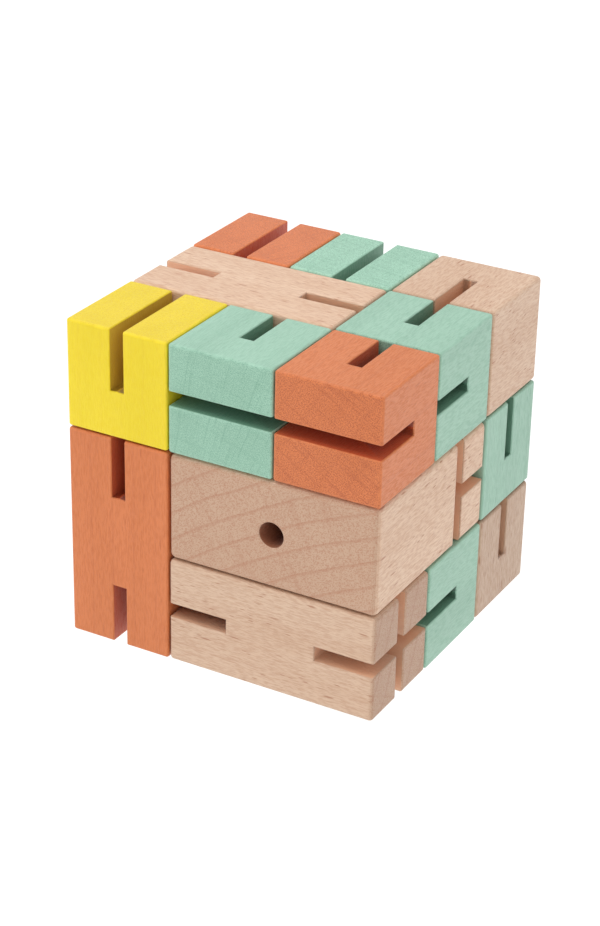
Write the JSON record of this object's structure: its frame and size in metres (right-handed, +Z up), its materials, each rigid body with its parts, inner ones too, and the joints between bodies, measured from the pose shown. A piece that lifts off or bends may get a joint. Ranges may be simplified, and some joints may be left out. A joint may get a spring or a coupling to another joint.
{
  "type": "folding block puzzle",
  "caption": "Cube of slotted wooden blocks strung on elastic cord; blocks and bars fold, flip, twist and pull apart from the folded cube.",
  "frame": {"origin": "middle of the folded cube's base", "axes": "+X to the right along the front face, +Y from the front to the back, +Z up"},
  "size_m": [0.0628, 0.0628, 0.0627],
  "materials": {
    "natural_wood": "bare sanded beech",
    "mint_wood": "thin matt mint stain, grain showing",
    "orange_wood": "thin matt orange stain, grain showing",
    "yellow_wood": "thin matt yellow stain, grain showing",
    "elastic_cord": "woven elastic"
  },
  "bodies": {
    "body_block": {"body_block": "natural_wood", "body_arm_cord": "elastic_cord", "body_hip_cord": "elastic_cord"},
    "top_bar": {"top_bar": "natural_wood", "top_bar_cord": "elastic_cord"},
    "front_arm_mint_inner": {"front_arm_mint_inner": "mint_wood", "front_arm_mint_inner_cord": "elastic_cord"},
    "front_arm_orange": {"front_arm_orange": "orange_wood", "front_arm_orange_cord": "elastic_cord"},
    "front_arm_mint_outer": {"front_arm_mint_outer": "mint_wood", "front_arm_mint_outer_cord": "elastic_cord"},
    "front_arm_natural_hand": {"front_arm_natural_hand": "natural_wood", "front_arm_natural_hand_cord": "elastic_cord"},
    "top_mint_block": {"top_mint_block": "mint_wood", "top_mint_block_cord": "elastic_cord"},
    "top_yellow_block": {"top_yellow_block": "yellow_wood", "top_yellow_block_cord": "elastic_cord"},
    "top_orange_block": {"top_orange_block": "orange_wood", "top_orange_block_cord": "elastic_cord"},
    "hip_bar": {"hip_bar": "natural_wood", "hip_bar_leg_cord": "elastic_cord", "hip_bar_hip_cord": "elastic_cord"},
    "right_leg_mint": {"right_leg_mint": "mint_wood", "right_leg_mint_cord": "elastic_cord"},
    "right_foot_natural": {"right_foot_natural": "natural_wood", "right_foot_natural_cord": "elastic_cord"},
    "left_leg_mint": {"left_leg_mint": "mint_wood", "left_leg_mint_cord": "elastic_cord"},
    "left_foot_natural": {"left_foot_natural": "natural_wood", "left_foot_natural_cord": "elastic_cord"},
    "back_arm_mint": {"back_arm_mint": "mint_wood", "back_arm_mint_cord": "elastic_cord"},
    "back_arm_orange": {"back_arm_orange": "orange_wood", "back_arm_orange_cord": "elastic_cord"},
    "back_arm_natural_hand": {"back_arm_natural_hand": "natural_wood", "back_arm_natural_hand_cord": "elastic_cord"},
    "side_arm_mint_inner": {"side_arm_mint_inner": "mint_wood", "side_arm_mint_inner_cord": "elastic_cord"},
    "side_arm_orange_bar": {"side_arm_orange_bar": "orange_wood", "side_arm_orange_bar_cord": "elastic_cord"},
    "side_arm_mint_outer": {"side_arm_mint_outer": "mint_wood", "side_arm_mint_outer_cord": "elastic_cord"},
    "side_arm_yellow_hand": {"side_arm_yellow_hand": "yellow_wood", "side_arm_yellow_hand_cord": "elastic_cord"}
  },
  "joints": [
    {"name": "top_layer_twist", "type": "hinge", "parent": "body_block", "child": "top_bar", "pos_m": [0, 0, 0.04185], "axis": [0, 0, 1], "range_deg": [-180, 180]},
    {"name": "front_arm_pull", "type": "slide", "parent": "top_bar", "child": "front_arm_mint_inner", "axis": [0, -1, 0], "range_m": [0, 0.005], "stiffness_N_per_m": 150, "springref_m": -0.008},
    {"name": "front_arm_elbow", "type": "hinge", "parent": "front_arm_mint_inner", "child": "front_arm_orange", "pos_m": [0.0105, -0.0315, -0.00015], "axis": [0, 0, -1], "range_deg": [0, 180]},
    {"name": "front_arm_wrist", "type": "hinge", "parent": "front_arm_orange", "child": "front_arm_mint_outer", "pos_m": [0.0315, -0.0105, -0.00015], "axis": [0, 0, -1], "range_deg": [0, 180]},
    {"name": "front_arm_hand_tilt", "type": "hinge", "parent": "front_arm_mint_outer", "child": "front_arm_natural_hand", "pos_m": [-0.0315, 0.0105, 0.06285], "axis": [1, 0, 0], "range_deg": [0, 90]},
    {"name": "top_mint_flip", "type": "hinge", "parent": "top_bar", "child": "top_mint_block", "pos_m": [-0.0315, 0.0105, 0.06285], "axis": [1, 0, 0], "range_deg": [0, 90]},
    {"name": "top_yellow_flip", "type": "hinge", "parent": "top_bar", "child": "top_yellow_block", "pos_m": [-0.0315, -0.0105, 0.06285], "axis": [-1, 0, 0], "range_deg": [0, 180]},
    {"name": "top_orange_flip", "type": "hinge", "parent": "top_bar", "child": "top_orange_block", "pos_m": [-0.0315, 0.0105, 0.06285], "axis": [1, 0, 0], "range_deg": [0, 90]},
    {"name": "hip_fold", "type": "hinge", "parent": "body_block", "child": "hip_bar", "pos_m": [-0.0315, -0.0315, 0.02085], "axis": [-1, 0, 0], "range_deg": [0, 180]},
    {"name": "right_leg_swing", "type": "hinge", "parent": "hip_bar", "child": "right_leg_mint", "pos_m": [0.0315, -0.0105, -0.00015], "axis": [0, 0, -1], "range_deg": [0, 90]},
    {"name": "right_foot_fold", "type": "hinge", "parent": "right_leg_mint", "child": "right_foot_natural", "pos_m": [-0.0315, 0.0105, -0.00015], "axis": [-1, 0, 0], "range_deg": [0, 90]},
    {"name": "left_leg_fold", "type": "hinge", "parent": "hip_bar", "child": "left_leg_mint", "pos_m": [-0.0315, -0.0105, -0.00015], "axis": [-1, 0, 0], "range_deg": [0, 90]},
    {"name": "left_foot_fold", "type": "hinge", "parent": "left_leg_mint", "child": "left_foot_natural", "pos_m": [-0.0315, 0.0105, -0.00015], "axis": [-1, 0, 0], "range_deg": [0, 90]},
    {"name": "back_arm_shoulder", "type": "hinge", "parent": "body_block", "child": "back_arm_mint", "pos_m": [0.0315, 0.0105, -0.00015], "axis": [0, 0, -1], "range_deg": [0, 180]},
    {"name": "back_arm_elbow", "type": "hinge", "parent": "back_arm_mint", "child": "back_arm_orange", "pos_m": [0.0105, 0.0315, -0.00015], "axis": [0, 0, -1], "range_deg": [0, 90]},
    {"name": "back_arm_hand_tilt", "type": "hinge", "parent": "back_arm_orange", "child": "back_arm_natural_hand", "pos_m": [-0.0105, 0.0315, -0.00015], "axis": [0, 0, -1], "range_deg": [0, 180]},
    {"name": "side_arm_pull", "type": "slide", "parent": "body_block", "child": "side_arm_mint_inner", "axis": [-1, 0, 0], "range_m": [0, 0.005], "stiffness_N_per_m": 150, "springref_m": -0.008},
    {"name": "side_bar_pull", "type": "slide", "parent": "side_arm_mint_inner", "child": "side_arm_orange_bar", "axis": [0, -1, 0], "range_m": [0, 0.005], "stiffness_N_per_m": 150, "springref_m": -0.008},
    {"name": "side_arm_elbow", "type": "hinge", "parent": "side_arm_orange_bar", "child": "side_arm_mint_outer", "pos_m": [-0.0315, -0.0105, -0.00015], "axis": [-1, 0, 0], "range_deg": [0, 90]},
    {"name": "side_arm_hand_tilt", "type": "hinge", "parent": "side_arm_mint_outer", "child": "side_arm_yellow_hand", "pos_m": [-0.0315, 0.0105, -0.00015], "axis": [-1, 0, 0], "range_deg": [0, 90]}
  ]
}
